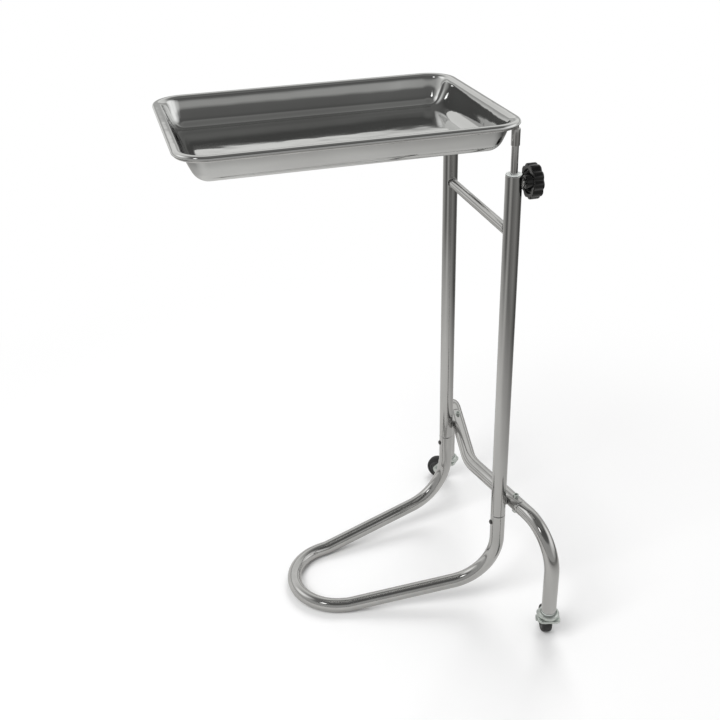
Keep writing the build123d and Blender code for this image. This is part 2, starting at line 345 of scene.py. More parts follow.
def object_pattern(tree, kind, stretch=(1, 1, 1), **inputs):
    """A noise-like texture on the piece's own metres, stretched along its axes."""
    place = tree.nodes.new("ShaderNodeTexCoord")
    mapping = tree.nodes.new("ShaderNodeMapping")
    mapping.inputs["Scale"].default_value = stretch
    texture = tree.nodes.new(kind)
    tree.links.new(place.outputs["Object"], mapping.inputs["Vector"])
    tree.links.new(mapping.outputs["Vector"], texture.inputs["Vector"])
    for key, value in inputs.items():
        texture.inputs[key].default_value = value
    return texture


def remap(tree, source, low, high, start=0.0, end=1.0):
    """A value from start..end turned into low..high."""
    node = tree.nodes.new("ShaderNodeMapRange")
    node.inputs["From Min"].default_value = start
    node.inputs["From Max"].default_value = end
    node.inputs["To Min"].default_value = low
    node.inputs["To Max"].default_value = high
    tree.links.new(source, node.inputs["Value"])
    return node.outputs["Result"]


def ramp(tree, source, stops):
    """Colours along a value, as (place, colour) stops."""
    node = tree.nodes.new("ShaderNodeValToRGB")
    band = node.color_ramp
    while len(band.elements) < len(stops):
        band.elements.new(0.5)
    for element, (place, colour) in zip(band.elements, stops):
        element.position = place
        element.color = (*colour, 1)
    tree.links.new(source, node.inputs["Fac"])
    return node.outputs["Color"]


def mix_node(tree, blend="MIX"):
    """A mix of two colours."""
    node = tree.nodes.new("ShaderNodeMix")
    node.data_type = "RGBA"
    node.blend_type = blend
    return node


def larger(tree, one, other):
    """The larger of two values."""
    node = tree.nodes.new("ShaderNodeMath")
    node.operation = "MAXIMUM"
    tree.links.new(one, node.inputs[0])
    tree.links.new(other, node.inputs[1])
    return node.outputs["Value"]


def bump(tree, shader, height, strength, distance):
    """Fine relief from a height value."""
    node = tree.nodes.new("ShaderNodeBump")
    node.inputs["Strength"].default_value = strength
    node.inputs["Distance"].default_value = distance
    tree.links.new(height, node.inputs["Height"])
    tree.links.new(node.outputs["Normal"], shader.inputs["Normal"])


# Finishes

def chrome_plate():
    """Polished chrome plate with faint haze and hairline wiping marks."""
    material, tree, shader = new_material("polished_chrome")
    shader.inputs["Metallic"].default_value = 1.0
    haze = object_pattern(tree, "ShaderNodeTexNoise", (9, 9, 2.5), Scale=3.0, Detail=4.0)
    stops = [(0.3, (0.50, 0.497, 0.49)), (0.7, (0.56, 0.557, 0.55))]
    colour = ramp(tree, haze.outputs["Fac"], stops)
    tree.links.new(colour, shader.inputs["Base Color"])
    wipe = object_pattern(tree, "ShaderNodeTexNoise", (60, 60, 900), Scale=1.0, Detail=3.0)
    tree.links.new(remap(tree, wipe.outputs["Fac"], 0.07, 0.15), shader.inputs["Roughness"])
    return material


def satin_steel():
    """Stainless sheet with a fine satin grain along the tray."""
    material, tree, shader = new_material("satin_stainless")
    shader.inputs["Metallic"].default_value = 1.0
    grain = object_pattern(tree, "ShaderNodeTexNoise", (900, 25, 900), Scale=1.0, Detail=4.0)
    cloud = object_pattern(tree, "ShaderNodeTexNoise", (6, 4, 6), Scale=2.0, Detail=5.0)
    stops = [(0.3, (0.57, 0.57, 0.565)), (0.7, (0.63, 0.635, 0.63))]
    colour = ramp(tree, cloud.outputs["Fac"], stops)
    tree.links.new(colour, shader.inputs["Base Color"])
    tree.links.new(remap(tree, grain.outputs["Fac"], 0.03, 0.08), shader.inputs["Roughness"])
    swell = object_pattern(tree, "ShaderNodeTexNoise", (1, 0.5, 1), Scale=22.0, Detail=2.0)
    bump(tree, shader, swell.outputs["Fac"], 0.10, 0.004)
    return material


def zinc_plate():
    """Bright zinc plate with a pale greenish, slightly mottled cast."""
    material, tree, shader = new_material("zinc_plate")
    shader.inputs["Metallic"].default_value = 1.0
    mottle = object_pattern(tree, "ShaderNodeTexNoise", (1, 1, 1), Scale=140.0, Detail=5.0)
    stops = [(0.3, (0.55, 0.59, 0.56)), (0.7, (0.72, 0.76, 0.73))]
    colour = ramp(tree, mottle.outputs["Fac"], stops)
    tree.links.new(colour, shader.inputs["Base Color"])
    tree.links.new(remap(tree, mottle.outputs["Fac"], 0.28, 0.45), shader.inputs["Roughness"])
    return material


def dark_steel():
    """Blackened screw steel."""
    material, tree, shader = new_material("dark_screw_steel")
    shader.inputs["Metallic"].default_value = 1.0
    mottle = object_pattern(tree, "ShaderNodeTexNoise", (1, 1, 1), Scale=300.0, Detail=3.0)
    stops = [(0.3, (0.09, 0.09, 0.09)), (0.7, (0.16, 0.155, 0.15))]
    colour = ramp(tree, mottle.outputs["Fac"], stops)
    tree.links.new(colour, shader.inputs["Base Color"])
    tree.links.new(remap(tree, mottle.outputs["Fac"], 0.25, 0.4), shader.inputs["Roughness"])
    return material


def moulded_plastic(name, dark, light, smooth, rough, relief):
    """Injection-moulded plastic with a faint texture."""
    material, tree, shader = new_material(name)
    skin = object_pattern(tree, "ShaderNodeTexNoise", (1, 1, 1), Scale=420.0, Detail=3.0)
    colour = ramp(tree, skin.outputs["Fac"], [(0.3, dark), (0.7, light)])
    tree.links.new(colour, shader.inputs["Base Color"])
    tree.links.new(remap(tree, skin.outputs["Fac"], smooth, rough), shader.inputs["Roughness"])
    bump(tree, shader, skin.outputs["Fac"], relief, 0.0003)
    return material


finishes = {
    "chrome_tube": chrome_plate(),
    "tray_steel": satin_steel(),
    "zinc_plate": zinc_plate(),
    "dark_screw": dark_steel(),
    "bearing_steel": chrome_plate(),
}
# Darker and lighter colour, smoother and rougher roughness, and strength of the relief
for slot, name, dark, light, smooth, rough, relief in (
    ("knob_plastic", "knob_black", (0.004, 0.004, 0.004), (0.009, 0.009, 0.009), 0.07, 0.15, 0.02),
    ("bush_plastic", "bush_white", (0.74, 0.77, 0.75), (0.82, 0.85, 0.83), 0.35, 0.5, 0.04),
    ("hub_plastic", "hub_grey", (0.04, 0.042, 0.042), (0.07, 0.072, 0.07), 0.35, 0.5, 0.06),
    ("tyre_rubber", "tyre_black", (0.012, 0.012, 0.012), (0.03, 0.03, 0.03), 0.5, 0.75, 0.15),
):
    finishes[slot] = moulded_plastic(name, dark, light, smooth, rough, relief)
for entry in frame["record"]["subparts"]:
    mesh = nodes[entry["node"]].data
    mesh.materials.clear()
    mesh.materials.append(finishes[entry["material_slot"]])


# Pieces that stand for the plainer model

def tube_piece(name, route, *replaced):
    """A chrome tube of the stand along a route given in the frame."""
    shell = bmesh.new()
    add_tube(shell, spread(route, longest_run * MM), tube_r * MM)
    finished(name, shell, "chrome_tube", "stand", *replaced)


def rear_place(x, z=rear_z):
    """A point on the centre line of the rear cross tube."""
    tan_rear = math.tan(rear_angle)
    y0 = 2 * tube_r / math.cos(rear_angle) - post_half_gap * tan_rear
    return at(x, y0 + abs(x) * tan_rear, z)


def base_tube():
    """The base loop as one smooth bent tube."""
    centre_angle = math.atan2(post_half_gap, -u_centre_y)
    taper = centre_angle - math.asin(u_radius / math.hypot(post_half_gap, u_centre_y))
    along = Vector((-math.sin(taper), -math.cos(taper), 0)) * MM
    u_start = at(u_radius * math.cos(taper), u_centre_y - u_radius * math.sin(taper), tube_r)
    side = bent_route([
        at(post_half_gap, 0, post_bottom), at(post_half_gap, 0, loop_corner_z),
        u_start - along * floor_run, u_start,
    ], [loop_bend_r * MM, floor_bend_r * MM])
    centre = at(0, u_centre_y, tube_r)
    reach = math.pi - 2 * taper
    steps = 60
    front = [
        centre + Vector((math.cos(a), math.sin(a), 0)) * u_radius * MM
        for a in (-taper - reach * i / steps for i in range(1, steps))
    ]
    mirror = [Vector((2 * layout.x - p.x, p.y, p.z)) for p in reversed(side)]
    tube_piece("base_loop_tube", side + front + mirror, "base_loop")


def post_tubes():
    """Both posts, and the thin tube between them with its ends cut to their round."""
    for side, sign in side_of.items():
        x = sign * post_half_gap
        tube_piece(f"post_tube_{side}", [at(x, 0, post_bottom), at(x, 0, post_top)], f"post_{side}")
    shell = bmesh.new()
    rings = []
    for share in (-1.0, -0.9, -0.5, 0.0, 0.5, 0.9, 1.0):
        ring = []
        for a in around(crossbar_sides):
            y, z = crossbar_r * math.cos(a), crossbar_r * math.sin(a)
            reach = post_half_gap - math.sqrt((tube_r - crossbar_sink) ** 2 - y * y)
            ring.append(shell.verts.new(at(share * reach, y, crossbar_z + z)))
        rings.append(ring)
    bridge(shell, rings)
    for ring, sign in ((rings[0], -1), (rings[-1], 1)):
        end_x = sign * (post_half_gap - tube_r + crossbar_sink)
        middle = shell.verts.new(at(end_x, 0, crossbar_z))
        for i in range(len(ring)):
            shell.faces.new((ring[i], ring[(i + 1) % len(ring)], middle))
    finished("crossbar_tube", shell, "chrome_tube", "stand", "crossbar")


def rear_tubes():
    """The V-shaped cross tube and the two bent legs."""
    corners = [rear_place(-rear_joint_x), rear_place(0), rear_place(rear_joint_x)]
    tube_piece("rear_cross_tube_smooth", bent_route(corners, [rear_bend_r * MM]), "rear_cross_tube")
    for side, sign in side_of.items():
        corners = [rear_place(sign * rear_joint_x), rear_place(sign * leg_x)]
        corners.append(rear_place(sign * leg_x, leg_bottom))
        leg = bent_route(corners, [leg_bend_r * MM])
        tube_piece(f"rear_leg_tube_{side}", leg, f"rear_leg_{side}")


def rounded_ring(shell, inset, z, along=10, corner=14):
    """One rounded rectangle, drawn in from the tray's outer edge, at a height from the rim."""
    radius = max(tray_corner_r - inset, 1.0)
    half_x = tray_width / 2 - inset - radius
    half_y = tray_length / 2 - inset - radius
    ring = []
    for quarter, (sx, sy) in enumerate(corner_signs):
        for i in range(corner + 1):
            a = math.pi / 2 * (quarter + i / corner)
            ring.append((sx * half_x + radius * math.cos(a), sy * half_y + radius * math.sin(a)))
        run = half_x if quarter in (0, 2) else half_y
        step = [(-1, 0), (0, -1), (1, 0), (0, 1)][quarter]
        last = ring[-1]
        ring += [
            tuple(last[k] + step[k] * 2 * run * i / along for k in (0, 1)) for i in range(1, along)
        ]
    centre_y = tray_rear_y - tray_length / 2
    return [shell.verts.new(at(x, centre_y + y, rim_top + z)) for x, y in ring]


def arc_points(centre, radius, start, end, count):
    """Points of an arc in the profile's plane, angles in degrees."""
    turns = [math.radians(start + (end - start) * i / count) for i in range(count + 1)]
    return [(centre[0] + radius * math.cos(a), centre[1] + radius * math.sin(a)) for a in turns]


def bow_share(depth):
    """How much of the wall's gentle outward bow is reached at a depth under the rim."""
    wall_start, wall_height = 5, 31
    share = min(max((depth - wall_start) / wall_height, 0), 1)
    return 0.5 - 0.5 * math.cos(2 * math.pi * share)


def tray_skin(offset):
    """Profile of a skin of the tray as (inset, height), from the lip's lower edge to the floor."""
    edge = rim_edge_r - offset
    slope = math.pi / 2 - wall_taper
    bend = flange_bend_r + offset
    hollow = tray_floor_r - tray_sheet + offset
    depth = tray_depth - tray_sheet + offset
    mouth = flange + tray_sheet - offset * (1 / math.cos(wall_taper) - math.tan(wall_taper))
    bend_start = mouth - bend * math.tan(slope / 2)
    floor_line = mouth + depth * math.tan(wall_taper) - offset * math.tan(wall_taper)
    floor_end = floor_line + hollow * math.tan(slope / 2)
    profile = [(offset, -lip_height)]
    profile += arc_points((offset + edge, -offset - edge), edge, 180, 90, 6)
    profile += arc_points((bend_start, -offset - bend), bend, 90, 90 - math.degrees(slope), 12)
    top = profile[-1]
    foot = (floor_end - hollow * math.sin(slope), -depth + hollow * (1 - math.cos(slope)))
    profile += [
        tuple(top[k] + (foot[k] - top[k]) * i / 10 for k in (0, 1)) for i in range(1, 10)
    ]
    profile += arc_points((floor_end, -depth + hollow), hollow, 270 - math.degrees(slope), 270, 18)
    profile += [(floor_end + 2, -depth), (floor_end + 40, -depth)]
    return [(inset - wall_bow * bow_share(-z), z) for inset, z in profile]


def pressed_tray():
    """The tray as one smooth pressed sheet."""
    shell = bmesh.new()
    for offset in (0.0, tray_sheet):
        rings = [rounded_ring(shell, inset, z) for inset, z in tray_skin(offset)]
        bridge(shell, rings)
        shell.faces.new(rings[-1])
        if offset == 0.0:
            first = rings[0]
        else:
            bridge(shell, [first, rings[0]])
    finished("tray_pressed", shell, "tray_steel", "tray_body", "tray")


def carrier_frame():
    """The closed rod frame under the tray's flange, with its two stubs."""
    radius = tray_corner_r - carrier_inset
    half_x = tray_width / 2 - carrier_inset
    half_y = tray_length / 2 - carrier_inset
    centre_y = tray_rear_y - tray_length / 2
    route = []
    for quarter, (sx, sy) in enumerate(corner_signs):
        for i in range(17):
            a = math.pi / 2 * (quarter + i / 16)
            x = sx * (half_x - radius) + radius * math.cos(a)
            y = centre_y + sy * (half_y - radius) + radius * math.sin(a)
            route.append(at(x, y, carrier_z))
    shell = bmesh.new()
    loop = spread(route + [route[0]], longest_run * MM)[:-1]
    add_tube(shell, loop, carrier_r * MM, sides=28, closed=True)
    for x in (-post_half_gap, post_half_gap):
        add_tube(shell, [at(x, 0, rod_top), at(x, 0, carrier_z)], carrier_r * MM, sides=28)
    finished("carrier_rod_frame", shell, "chrome_tube", "lift", "tray_carrier")


def one_form(name, levels, placed, finish, body, *replaced, **shape):
    """A piece that is one form about an axis."""
    shell = bmesh.new()
    add_form(shell, levels, placed, **shape)
    finished(name, shell, finish, body, *replaced)


def sliding_rods():
    """Rods, their sockets under the tray and the bushes that guide them."""
    for side, sign in side_of.items():
        x = sign * post_half_gap
        centre = Matrix.Translation(at(x, 0, 0))
        one_form(f"rod_{side}_smooth", eased([
            (0, rod_bottom), (rod_r, rod_bottom), (rod_r, rod_top), (0, rod_top),
        ], 0.8), centre, "chrome_tube", "lift", f"inner_rod_{side}")
        one_form(f"rod_socket_{side}_smooth", eased([
            (rod_r, socket_bottom + 1), (rod_r, socket_bottom), (socket_r, socket_bottom),
            (socket_r, socket_top), (carrier_r, socket_top), (carrier_r, socket_top - 1),
        ], 0.7), centre, "chrome_tube", "lift", f"rod_socket_{side}")
        low, bore = post_top - bush_length, tube_r - wall
        one_form(f"guide_bush_{side}_smooth", eased([
            (rod_r + 0.05, low), (bore, low), (bore, post_top), (tube_r - 0.3, post_top),
            (tube_r - 0.5, post_top + bush_collar), (rod_r + 0.05, post_top + bush_collar),
            (rod_r + 0.05, low),
        ], 0.5)[:-1], centre, "bush_plastic", "stand", f"guide_bush_{side}", closed=True)


def knob_levels():
    """Lobed knob about Z: hollow face, rounded rim and dished outer face."""
    thick = knob_back_y - knob_face_y
    hub = hub_face_y - knob_face_y

    def lobed(inset, share=1.0):
        def radius(a):
            valley = 0.5 - 0.5 * math.cos(knob_lobes * a)
            return knob_r - inset - flute_depth * share * valley ** 1.7
        return radius

    # The hub and the hollow round it
    levels = [(stud_r - 0.2, hub + 1), (stud_r + 0.1, hub), (knob_hub_r - 1, hub)]
    levels += [(knob_hub_r - 0.3, hub + 0.2), (knob_hub_r, hub + 0.9)]
    levels += [(knob_hub_r + 0.5, knob_hollow - 0.8), (knob_hub_r + 1.6, knob_hollow)]
    levels += [(17.3, knob_hollow), (18.2, knob_hollow - 0.8), (18.5, 0.9), (18.8, 0.25)]
    levels += [(19.4, 0.0)]
    # The lobed rim, with its inner and outer edges rounded
    levels += [(lobed(2.2, 0.8), 0.0)]
    inner, outer = 1.6, 2.8
    for a in (math.radians(degrees) for degrees in (10, 35, 60, 90)):
        levels.append((lobed(inner * (1 - math.sin(a))), inner * (1 - math.cos(a))))
    for a in (math.radians(degrees) for degrees in (0, 22, 45, 67, 90)):
        levels.append((lobed(outer * (1 - math.cos(a))), thick - outer * (1 - math.sin(a))))
    # The dished face
    levels += [(lobed(4.6, 0.7), thick), (16.6, thick), (15.9, thick - 0.15)]
    levels += [(15.3, thick - knob_dish + 0.2)]
    levels += [(14.6, thick - knob_dish), (5, thick - knob_dish), (0, thick - knob_dish)]
    return levels


def threaded(radius, low, high, pitch, depth=0.55):
    """Levels of a threaded rod: the ridge climbs one pitch per turn."""
    count = math.ceil((high - low) / pitch * 6)
    levels = [(0, low)]
    for i in range(count + 1):
        z = low + (high - low) * i / count
        fade = min(1.0, i / 4, (count - i) / 4)

        def ridge(a, z=z, fade=fade):
            phase = (z / pitch - a / (2 * math.pi)) % 1.0
            return radius - depth * fade * abs(2 * phase - 1) - (1 - fade) * 0.5
        levels.append((ridge, z))
    return levels + [(0, high)]


def clamp_knobs():
    """Knobs with their studs, and the bosses on the posts."""
    for side, sign in side_of.items():
        x = sign * post_half_gap
        axis = along_y(x, 0, knob_z)
        one_form(f"knob_{side}_smooth", knob_levels(), along_y(x, knob_face_y, knob_z),
                 "knob_plastic", f"knob_body_{side}", f"knob_{side}", sides=192)
        thread = threaded(stud_r, stud_tip_y, knob_face_y + 8, thread_pitch)
        one_form(f"stud_{side}_threaded", thread, axis,
                 "zinc_plate", f"stud_{side}", f"clamp_stud_{side}", sides=36)
        one_form(f"boss_{side}_smooth", eased([
            (stud_r + 0.1, tube_r - 2), (boss_r, tube_r - 2), (boss_r, boss_end_y),
            (stud_r + 0.1, boss_end_y), (stud_r + 0.1, tube_r - 2),
        ], 0.6)[:-1], axis, "chrome_tube", "stand", f"clamp_boss_{side}", closed=True, sides=48)


def caster_place(side):
    """Placing of a caster drawn about Z with its wheel trailing to -Y."""
    sign = side_of[side]
    foot = rear_place(sign * leg_x, 0)
    return Matrix.Translation(foot) @ Matrix.Rotation(caster_turn[side], 4, "Z")


def add_plate(shell, outline, low, high, placed, edge=0.5):
    """Flat plate from an outline in millimetres, between two heights, with rounded edges."""
    middle = sum((Vector(p) for p in outline), Vector((0, 0))) / len(outline)
    count = len(outline)
    normals = []
    for i in range(count):
        run = Vector(outline[(i + 1) % count]) - Vector(outline[i - 1])
        outward = Vector((run.y, -run.x)).normalized()
        normals.append(outward if outward.dot(Vector(outline[i]) - middle) > 0 else -outward)
    rings = []
    steps = [(edge, low), (edge * 0.3, low + edge * 0.3), (0, low + edge), (0, high - edge),
             (edge * 0.3, high - edge * 0.3), (edge, high)]
    for inset, z in [(edge + 0.6, low)] + steps + [(edge + 0.6, high)]:
        rings.append([
            shell.verts.new(placed @ (Vector((p[0] - n.x * inset, p[1] - n.y * inset, z)) * MM))
            for p, n in zip(outline, normals)
        ])
    bridge(shell, rings)
    shell.faces.new(rings[0])
    shell.faces.new(rings[-1])


def rounded_outline(width, length, radius, steps=8):
    """Points of a rounded rectangle in the plane."""
    points = []
    for quarter, (sx, sy) in enumerate(((1, 1), (-1, 1), (-1, -1), (1, -1))):
        centre = (sx * (width / 2 - radius), sy * (length / 2 - radius))
        points += arc_points(centre, radius, 90 * quarter, 90 * quarter + 90, steps)
    return points


def cheek_outline():
    """Outline of a fork cheek in its own plane, as (distance forward, height)."""
    tip_r, tip = 8.0, (-trail, wheel_r)
    back, front = -crown_length / 2 + 4, crown_length / 2 - 4
    top = fork_plate_z + 0.6
    points = [(front, top), (front, top - 2.5)]
    lean = math.atan2(top - 2.5 - tip[1], front - tip[0])
    reach = math.hypot(top - 2.5 - tip[1], front - tip[0])
    touch = lean - math.acos(tip_r / reach)
    lean_back = math.atan2(top - 2.5 - tip[1], back - tip[0])
    touch_back = lean_back + math.acos(tip_r / math.hypot(top - 2.5 - tip[1], back - tip[0]))
    start, end = math.degrees(touch), math.degrees(touch_back) - 360
    points += arc_points(tip, tip_r, start, end, 20)
    points += [(back, top - 2.5), (back, top)]
    return points


def add_crown(shell, placed):
    """The folded top plate of a fork, from (inset, height) levels of a rounded rectangle."""
    crown_top = fork_plate_z + fork_plate
    skirt = crown_top - fork_plate - crown_drop
    middle = 15
    profile = [(middle, crown_top), (fork_plate + 0.6, crown_top)]
    for a in (math.radians(degrees) for degrees in (0, 18, 36, 54, 72, 90)):
        profile.append((fork_plate * (1 - math.sin(a)), crown_top - fork_plate * (1 - math.cos(a))))
    profile += [(0, skirt + 0.5), (0.5, skirt), (fork_plate - 0.5, skirt)]
    profile += [(fork_plate, skirt + 0.5), (fork_plate, fork_plate_z - 0.8)]
    profile += [(fork_plate + 0.8, fork_plate_z)]
    profile += [(middle, fork_plate_z)]
    rings = []
    for inset, z in profile:
        radius = max(crown_corner_r - inset, 0.6)
        outline = rounded_outline(crown_width - 2 * inset, crown_length - 2 * inset, radius)
        rings.append([shell.verts.new(placed @ (Vector((x, y, z)) * MM)) for x, y in outline])
    bridge(shell, rings)
    shell.faces.new(rings[0])
    shell.faces.new(rings[-1])


def casters():
    """Raceway cups, forks, wheels and axles."""
    upright = Matrix(((0, 0, 1, 0), (1, 0, 0, 0), (0, 1, 0, 0), (0, 0, 0, 1)))
    near, far = fork_gap / 2, fork_gap / 2 + fork_plate
    for side in side_of:
        placed = caster_place(side)
        top = leg_bottom - 1.5
        low = fork_plate_z + fork_plate + 0.5
        one_form(f"swivel_cup_{side}_smooth", eased([
            (kingpin_r, top), (11.5, top), (12.2, top - 0.9), (13.0, top - 0.9), (13.8, top),
            (15.4, top), (17.2, top - 1.4), (cup_r, top - 3.2), (cup_r, low), (cup_r - 1.3, low),
            (cup_r - 1.3, top - 3.4), (16.2, top - 2.2), (kingpin_r, top - 2.2), (kingpin_r, top),
        ], 0.7)[:-1], placed, "zinc_plate", "stand", f"swivel_cup_{side}", closed=True)

        shell = bmesh.new()
        add_crown(shell, placed)
        for inner, outer in ((near, far), (-far, -near)):
            add_plate(shell, cheek_outline(), inner, outer, placed @ upright)
        finished(f"fork_{side}_smooth", shell, "zinc_plate", f"caster_{side}", f"fork_{side}")

        axle = placed @ Matrix.Translation(Vector((0, -trail, wheel_r)) * MM)
        axle = axle @ Matrix.Rotation(math.pi / 2, 4, "Y")
        shell = bmesh.new()
        add_form(shell, [
            (0, far - 0.2), (7.0, far - 0.2), (7.0, far + 0.7), (6.6, far + 0.9), (0, far + 0.9),
        ], axle, 48)
        add_nut(shell, axle_nut_r, far + 0.1, far + 4.1, axle, far, far + 4.1)
        finished(f"axle_bolt_{side}_head", shell,
                 "zinc_plate", f"caster_{side}", f"axle_bolt_{side}")
        shell = bmesh.new()
        add_nut(shell, axle_nut_r, -far - 4.1, -far - 0.1, axle, -far - 4.1, -far)
        add_form(shell, threaded(axle_r, -far - 5.5, -far - 2, 0.8, 0.35), axle, 32)
        finished(f"axle_nut_{side}_hex", shell, "zinc_plate", f"caster_{side}", f"axle_nut_{side}")

        half = wheel_width / 2
        bore = sleeve_r + 0.05
        outer = [
            (bore, half + 1), (7.0, half + 1), (7.6, half - 3.5), (13.4, half - 3.5),
            (14.2, half - 0.4), (hub_r, half - 0.8),
        ]
        section = eased(outer + [(r, -z) for r, z in reversed(outer)] + [outer[0]], 0.7)[:-1]
        one_form(f"wheel_hub_{side}_smooth", section, axle,
                 "hub_plastic", f"wheel_{side}", f"wheel_hub_{side}", closed=True, sides=96)
        tread = [
            (hub_r - 0.4, half - 0.9), (wheel_r - 5, half - 0.1), (wheel_r - 2.6, half - 0.5),
            (wheel_r - 0.9, half - 2.2), (wheel_r - 0.1, half - 5.0), (wheel_r, 0.0),
        ]
        mirrored = [(r, -z) for r, z in reversed(tread[:-1])]
        section = eased(tread + mirrored, 1.5) + [(hub_r - 0.4, 0)]
        one_form(f"tyre_{side}_smooth", section, axle,
                 "tyre_rubber", f"wheel_{side}", f"tyre_{side}", closed=True, sides=96)


def cross_recess(reach):
    """Radius function of the cross in a screw head."""
    return lambda a: reach * (1.0 if abs(math.sin(2 * a)) > 0.45 else 1.75)


def screws():
    """Cross-headed screws in the base, and cap screws with nuts on the rear tube."""
    shell = bmesh.new()
    for sign in side_of.values():
        face = Matrix.Translation(at(sign * post_half_gap, -tube_r, base_screw_z))
        add_form(shell, [
            (4.2, -0.6), (4.4, 0.1), (4.3, 0.8), (3.8, 1.6), (3.0, 2.2), (cross_recess(1.15), 2.45),
            (cross_recess(1.05), 1.2), (0.5, 0.9), (0, 0.8),
        ], face @ Matrix.Rotation(math.pi / 2, 4, "X"), 48)
    finished("base_screw_heads", shell, "dark_screw", "stand", "base_screws")
    heads, nuts = bmesh.new(), bmesh.new()
    washer_low, washer_top = -tube_r - 0.4, -tube_r + 1.5
    for sign in side_of.values():
        upright = Matrix.Translation(rear_place(sign * rear_bolt_x))
        add_form(heads, eased([
            (0, tube_r - 1.5), (5.0, tube_r - 1.5), (5.0, tube_r + 4.4), (2.6, tube_r + 4.4),
            (2.4, tube_r + 1.8), (0, tube_r + 1.8),
        ], 0.6), upright, 48)
        add_form(heads, threaded(rear_bolt_r, -tube_r - 8, -tube_r - 3, 1.0, 0.4), upright, 32)
        add_nut(nuts, rear_nut_r, -tube_r - 5.2, -tube_r - 0.2, upright, -tube_r - 5.2, -tube_r)
        add_form(nuts, [
            (0, washer_low), (6.4, washer_low), (6.4, washer_top), (0, washer_top),
        ], upright, 48)
    finished("leg_bolt_heads", heads, "zinc_plate", "stand", "leg_bolts")
    finished("leg_nut_hexes", nuts, "zinc_plate", "stand", "leg_nuts")


def bead_tree():
    """Geometry Nodes tree that lays overlapping rounded ripples along a line, as a weld bead."""
    tree = bpy.data.node_groups.new("weld_bead", "GeometryNodeTree")
    face = tree.interface
    face.new_socket(name="Geometry", in_out="INPUT", socket_type="NodeSocketGeometry")
    sockets = {}
    for name, kind, value in (
        ("Bead Radius", "NodeSocketFloat", 0.001), ("Spacing", "NodeSocketFloat", 0.001),
        ("Unevenness", "NodeSocketFloat", bead_unevenness), ("Seed", "NodeSocketInt", bead_seed),
    ):
        socket = face.new_socket(name=name, in_out="INPUT", socket_type=kind)
        socket.default_value = value
        sockets[name] = socket.identifier
    finish = face.new_socket(name="Finish", in_out="INPUT", socket_type="NodeSocketMaterial")
    sockets["Finish"] = finish.identifier
    face.new_socket(name="Geometry", in_out="OUTPUT", socket_type="NodeSocketGeometry")
    add, link = tree.nodes.new, tree.links.new
    source, result = add("NodeGroupInput"), add("NodeGroupOutput")
    line, spaced = add("GeometryNodeMeshToCurve"), add("GeometryNodeResampleCurve")
    spaced.mode = "LENGTH"
    ripple = add("GeometryNodeMeshUVSphere")
    ripple.inputs["Segments"].default_value = 12
    ripple.inputs["Rings"].default_value = 7
    spread_low, spread_high = add("ShaderNodeMath"), add("ShaderNodeMath")
    size = add("FunctionNodeRandomValue")
    spread_low.operation, spread_high.operation = "SUBTRACT", "ADD"
    spread_low.inputs[0].default_value = spread_high.inputs[0].default_value = 1.0
    places, solid = add("GeometryNodeInstanceOnPoints"), add("GeometryNodeRealizeInstances")
    paint = add("GeometryNodeSetMaterial")
    link(source.outputs["Geometry"], line.inputs["Mesh"])
    link(line.outputs["Curve"], spaced.inputs["Curve"])
    link(source.outputs["Spacing"], spaced.inputs["Length"])
    link(source.outputs["Bead Radius"], ripple.inputs["Radius"])
    link(source.outputs["Unevenness"], spread_low.inputs[1])
    link(source.outputs["Unevenness"], spread_high.inputs[1])
    link(spread_low.outputs["Value"], size.inputs[2])
    link(spread_high.outputs["Value"], size.inputs[3])
    link(source.outputs["Seed"], size.inputs["Seed"])
    link(spaced.outputs["Curve"], places.inputs["Points"])
    link(ripple.outputs["Mesh"], places.inputs["Instance"])
    link(size.outputs[1], places.inputs["Scale"])
    link(places.outputs["Instances"], solid.inputs["Geometry"])
    link(solid.outputs["Geometry"], paint.inputs["Geometry"])
    link(source.outputs["Finish"], paint.inputs["Material"])
    link(paint.outputs["Geometry"], result.inputs["Geometry"])
    return tree, sockets


def weld(name, tree, sockets, rings, radius, body):
    """Weld beads along closed rings of points, as one plain mesh on a body."""
    line = bpy.data.meshes.new(name + "_line")
    points, edges = [], []
    for ring in rings:
        start, count = len(points), len(ring)
        points += [tuple(point) for point in ring]
        edges += [(start + i, start + (i + 1) % count) for i in range(count)]
    line.from_pydata(points, edges, [])
    grower = new_object(name + "_line", line)
    modifier = grower.modifiers.new("bead", "NODES")
    modifier.node_group = tree
    settings = {
        "Bead Radius": radius * MM, "Spacing": radius * 1.1 * MM, "Unevenness": bead_unevenness,
        "Seed": bead_seed, "Finish": finishes["chrome_tube"],
    }
    for key, value in settings.items():
        modifier[sockets[key]] = value
    grown = grower.evaluated_get(bpy.context.evaluated_depsgraph_get())
    mesh = bpy.data.meshes.new_from_object(grown)
    mesh.name = name
    grower.modifiers.remove(modifier)
    bpy.data.objects.remove(grower)
    for polygon in mesh.polygons:
        polygon.use_smooth = True
    piece = new_object(name, mesh)
    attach(piece, body)


def on_post(offset):
    """Depth of a post's skin, and a little more, at an offset from its middle."""
    return math.sqrt((tube_r + 0.2) ** 2 - offset ** 2)


